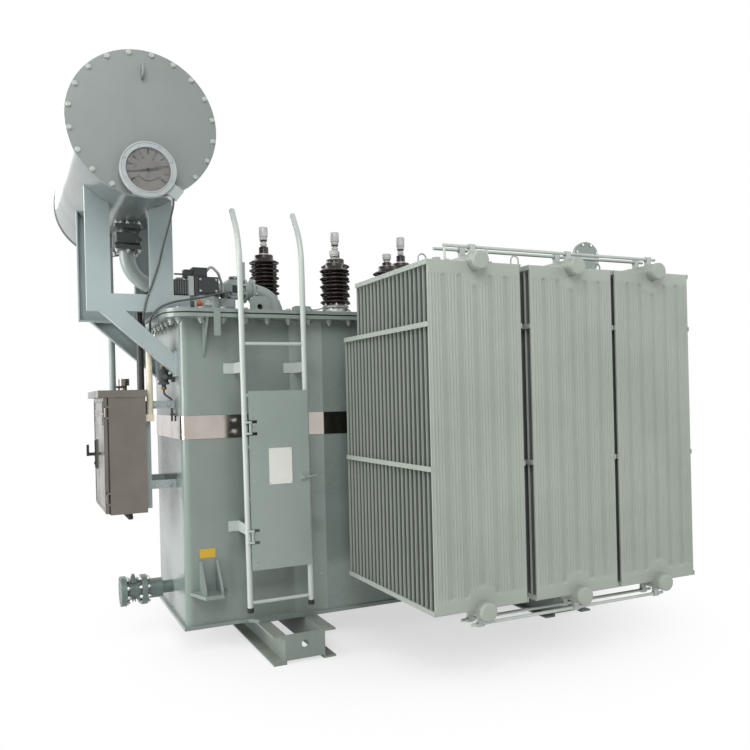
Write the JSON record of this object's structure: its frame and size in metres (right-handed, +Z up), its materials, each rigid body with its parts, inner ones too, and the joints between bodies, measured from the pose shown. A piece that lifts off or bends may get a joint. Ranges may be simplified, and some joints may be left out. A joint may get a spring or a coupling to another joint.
{
  "type": "power transformer",
  "caption": "Oil-filled power transformer on skids with panel radiators, conservator, ribbed bushings, tap changer, control cabinet and access ladder.",
  "frame": {"origin": "on the ground under the middle of the tank, at the centre of the outer anchor holes", "axes": "+X along the tank, away from the conservator end; +Z up; the ladder is on the -Y side"},
  "size_m": [3.654, 3.496, 3.253],
  "materials": {
    "tank_paint": "semi-gloss grey-green enamel",
    "radiator_paint": "satin sage-grey enamel",
    "conservator_paint": "semi-gloss sage-grey enamel",
    "frame_paint": "satin grey enamel",
    "pipe_paint": "satin grey enamel",
    "skid_paint": "dusty grey-green enamel",
    "ladder_paint": "satin grey enamel",
    "polished_band": "bright stainless",
    "cabinet_steel": "brushed stainless",
    "bracket_steel": "plain stainless",
    "insulator_glaze": "dark brown glaze",
    "bushing_foot_metal": "cast, satin",
    "terminal_metal": "machined, satin",
    "drive_paint": "dark grey enamel",
    "motor_paint": "grey enamel",
    "gauge_casting": "painted casting, satin",
    "gauge_face": "white dial",
    "gasket_rubber": "matt",
    "cable_sheath": "satin",
    "hose_sheath": "ribbed",
    "conduit_plastic": "cream",
    "breather_plastic": "clear grey",
    "valve_paint": "painted casting"
  },
  "bodies": {
    "transformer": {"tank_body": "tank_paint", "floor_plate": "tank_paint", "tank_flange": "tank_paint", "cover_gasket": "gasket_rubber", "tank_cover": "tank_paint", "bright_band": "polished_band", "skid_left": "skid_paint", "skid_right": "skid_paint", "radiator_front_1": "radiator_paint", "radiator_front_2": "radiator_paint", "radiator_front_3": "radiator_paint", "radiator_back_1": "radiator_paint", "radiator_back_2": "radiator_paint", "radiator_back_3": "radiator_paint", "radiator_pipes": "radiator_paint", "radiator_straps": "radiator_paint", "radiator_tie_bars": "radiator_paint", "conservator_drum": "conservator_paint", "conservator_cap_front": "conservator_paint", "conservator_cap_back": "conservator_paint", "oil_gauge": "gauge_casting", "oil_gauge_dial": "gauge_face", "conservator_frame_front": "frame_paint", "conservator_frame_back": "frame_paint", "conservator_strut_front": "frame_paint", "conservator_strut_back": "frame_paint", "conservator_valve": "pipe_paint", "oil_pipe": "pipe_paint", "gas_relay": "pipe_paint", "relay_valve": "valve_paint", "cover_inlet_pipe": "pipe_paint", "bushing_bases": "bushing_foot_metal", "hv_insulators": "insulator_glaze", "lv_insulators": "insulator_glaze", "bushing_terminals": "terminal_metal", "tap_changer_head": "pipe_paint", "tap_changer_drive": "drive_paint", "tap_changer_bracket": "bracket_steel", "tap_changer_motor": "motor_paint", "control_cabinet": "cabinet_steel", "cabinet_roof": "cabinet_steel", "cabinet_brackets": "bracket_steel", "cable_conduit": "conduit_plastic", "motor_hose": "hose_sheath", "gauge_cable": "cable_sheath", "relay_cable": "cable_sheath", "breather_pipe": "pipe_paint", "breather_jar": "breather_plastic", "wall_valve": "valve_paint", "ladder": "ladder_paint", "ladder_brackets": "ladder_paint", "drain_valve": "valve_paint", "jacking_pads": "tank_paint", "lifting_lugs": "tank_paint", "flange_ribs": "tank_paint", "relief_vent": "pipe_paint"},
    "cabinet_door": {"cabinet_door": "cabinet_steel"},
    "ladder_guard": {"ladder_guard": "ladder_paint"}
  },
  "joints": [
    {"name": "cabinet_door_hinge", "type": "hinge", "parent": "transformer", "child": "cabinet_door", "pos_m": [-1.87, -0.296, 1.155], "axis": [0, 0, 1], "range_deg": [0, 110]},
    {"name": "ladder_guard_hinge", "type": "hinge", "parent": "transformer", "child": "ladder_guard", "pos_m": [-1.148, -0.662, 0.9995], "axis": [0, 0, -1], "range_deg": [0, 150]}
  ]
}
